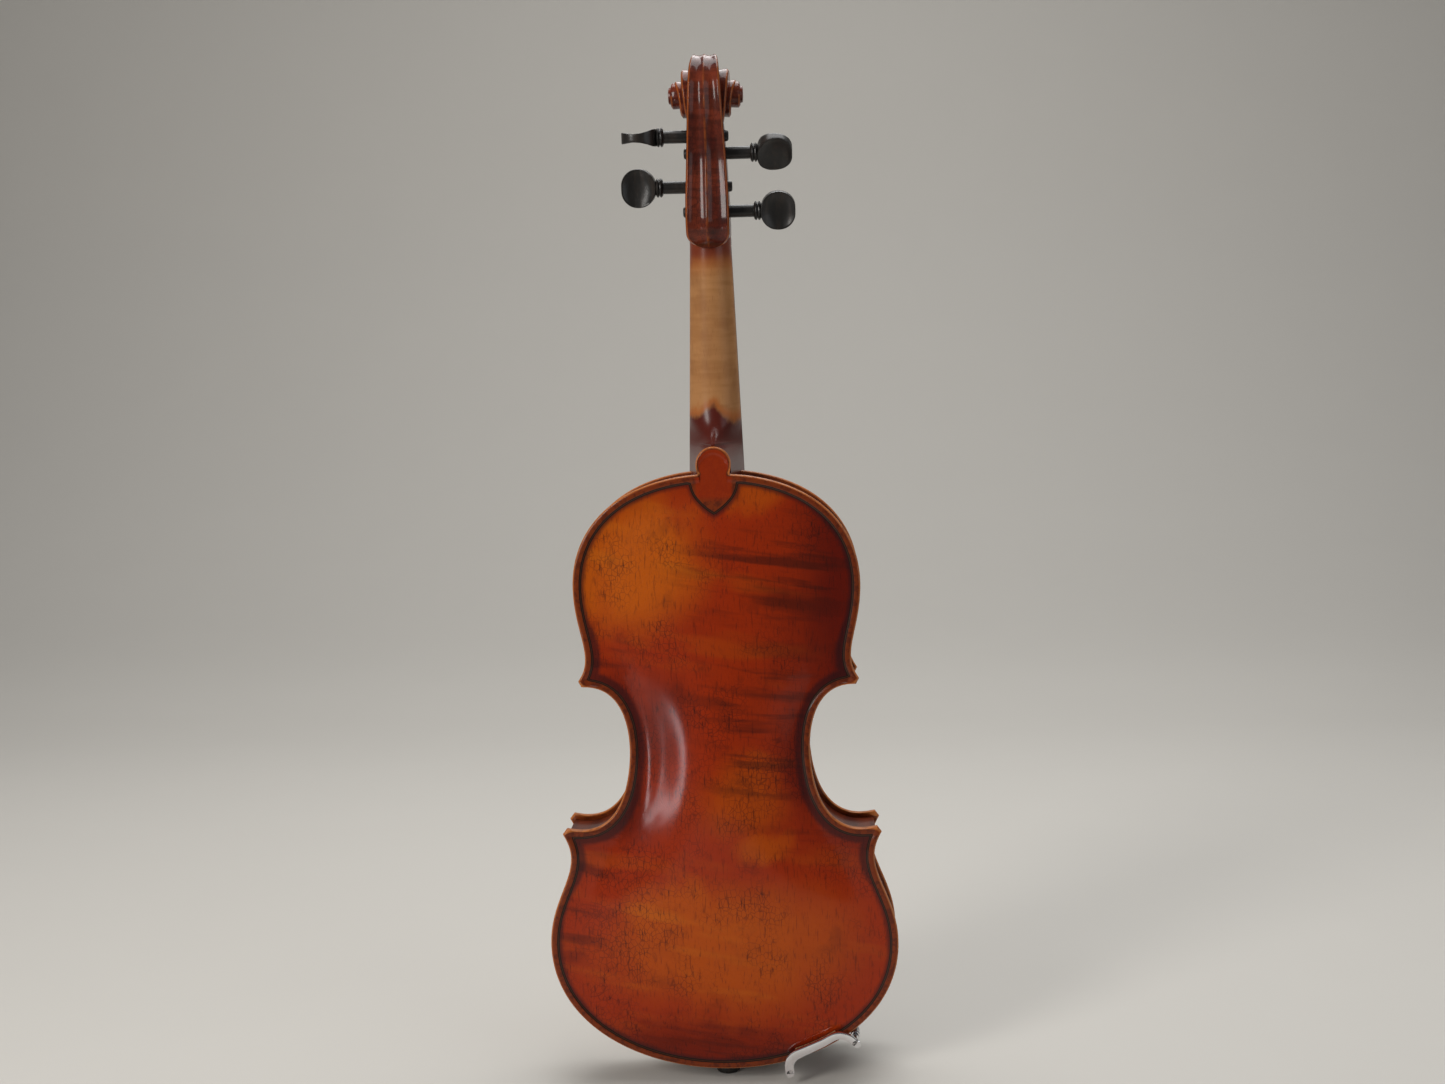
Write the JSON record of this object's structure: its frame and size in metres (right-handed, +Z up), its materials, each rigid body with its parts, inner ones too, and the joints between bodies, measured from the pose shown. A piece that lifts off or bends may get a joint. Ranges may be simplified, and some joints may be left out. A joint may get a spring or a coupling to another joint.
{
  "type": "violin",
  "caption": "Full-size violin: arched maple back and spruce top on flamed ribs, scroll head with turning pegs, strings, bridge, tailpiece with fine tuner, and clamped side chin rest.",
  "frame": {"origin": "centre of the flat outer face of the end button", "axes": "+Z up the instrument towards the scroll, +Y out of the top (the front), -Y out of the back, +X to the bass side"},
  "size_m": [0.206, 0.0954, 0.6005],
  "materials": {
    "back_maple": "flamed maple under worn red-brown varnish, gloss",
    "rib_maple": "flamed maple under red-brown varnish, gloss",
    "top_spruce": "spruce under orange-brown varnish, gloss",
    "neck_maple": "bare oiled maple, with a varnished head and heel",
    "willow": "bare willow",
    "inner_spruce": "bare spruce",
    "ebony": "polished ebony, satin",
    "bridge_maple": "bare maple, satin",
    "cord": "black nylon cord",
    "string_steel": "wound strings and a plain steel E string",
    "chrome": "polished",
    "cork": "cork sheet, matt"
  },
  "bodies": {
    "violin": {"back_plate": "back_maple", "top_plate": "top_spruce", "rib_lower_bass": "rib_maple", "rib_waist_bass": "rib_maple", "rib_upper_bass": "rib_maple", "rib_lower_treble": "rib_maple", "rib_waist_treble": "rib_maple", "rib_upper_treble": "rib_maple", "lining_back_lower_bass": "willow", "lining_top_lower_bass": "willow", "lining_back_waist_bass": "willow", "lining_top_waist_bass": "willow", "lining_back_upper_bass": "willow", "lining_top_upper_bass": "willow", "lining_back_lower_treble": "willow", "lining_top_lower_treble": "willow", "lining_back_waist_treble": "willow", "lining_top_waist_treble": "willow", "lining_back_upper_treble": "willow", "lining_top_upper_treble": "willow", "block_end": "willow", "block_neck": "willow", "block_lower_bass": "willow", "block_upper_bass": "willow", "block_lower_treble": "willow", "block_upper_treble": "willow", "bass_bar": "inner_spruce", "sound_post": "inner_spruce", "neck": "neck_maple", "fingerboard": "ebony", "nut": "ebony", "string_g": "string_steel", "string_d": "string_steel", "string_a": "string_steel", "string_e": "string_steel", "bridge": "bridge_maple", "tailpiece": "ebony", "tailpiece_fret": "ebony", "tail_cord": "cord", "saddle": "ebony", "end_button": "ebony", "fine_tuner_frame": "chrome", "fine_tuner_pin": "chrome", "chin_rest": "ebony", "cork_top": "cork", "clamp_bracket": "chrome"},
    "peg_g": {"peg_g": "ebony"},
    "peg_d": {"peg_d": "ebony"},
    "peg_a": {"peg_a": "ebony"},
    "peg_e": {"peg_e": "ebony"},
    "fine_tuner_screw": {"fine_tuner_screw": "chrome"},
    "fine_tuner_lever": {"fine_tuner_lever": "chrome"},
    "clamp_foot": {"clamp_foot": "chrome", "cork_back": "cork"},
    "clamp_barrel_inner": {"clamp_barrel_inner": "chrome"},
    "clamp_barrel_outer": {"clamp_barrel_outer": "chrome"}
  },
  "joints": [
    {"name": "peg_g_turn", "type": "hinge", "parent": "violin", "child": "peg_g", "pos_m": [0, -0.00408, 0.51346], "axis": [1, 0, 0], "continuous": true},
    {"name": "peg_e_turn", "type": "hinge", "parent": "violin", "child": "peg_e", "pos_m": [0, -0.00571, 0.52736], "axis": [-1, 0, 0], "continuous": true},
    {"name": "peg_d_turn", "type": "hinge", "parent": "violin", "child": "peg_d", "pos_m": [0, -0.00787, 0.54574], "axis": [1, 0, 0], "continuous": true},
    {"name": "peg_a_turn", "type": "hinge", "parent": "violin", "child": "peg_a", "pos_m": [0, -0.01097, 0.55494], "axis": [-1, 0, 0], "continuous": true},
    {"name": "fine_tuner_screw_turn", "type": "hinge", "parent": "violin", "child": "fine_tuner_screw", "pos_m": [-0.01425, 0.05636, 0.09679], "axis": [0, 0.9764, -0.2158], "range_deg": [0, 1080]},
    {"name": "fine_tuner_lever_tilt", "type": "hinge", "parent": "violin", "child": "fine_tuner_lever", "pos_m": [-0.01425, 0.05483, 0.113], "axis": [1, 0, 0], "range_deg": [-5.6, 0]},
    {"name": "clamp_barrel_inner_turn", "type": "hinge", "parent": "violin", "child": "clamp_barrel_inner", "pos_m": [0.03769, 0, 0.00765], "axis": [0, 1, 0], "range_deg": [0, 1200]},
    {"name": "clamp_barrel_outer_turn", "type": "hinge", "parent": "violin", "child": "clamp_barrel_outer", "pos_m": [0.07698, 0, 0.02577], "axis": [0, 1, 0], "range_deg": [0, 1200]},
    {"name": "clamp_foot_slide", "type": "slide", "parent": "violin", "child": "clamp_foot", "axis": [0, -1, 0], "range_m": [0, 0.004]}
  ],
  "couplings": [
    {"joint": "fine_tuner_lever_tilt", "follows": "fine_tuner_screw_turn", "ratio": -0.005134},
    {"joint": "clamp_barrel_inner_turn", "follows": "clamp_foot_slide", "rad_per_m": 5236},
    {"joint": "clamp_barrel_outer_turn", "follows": "clamp_foot_slide", "rad_per_m": 5236}
  ]
}
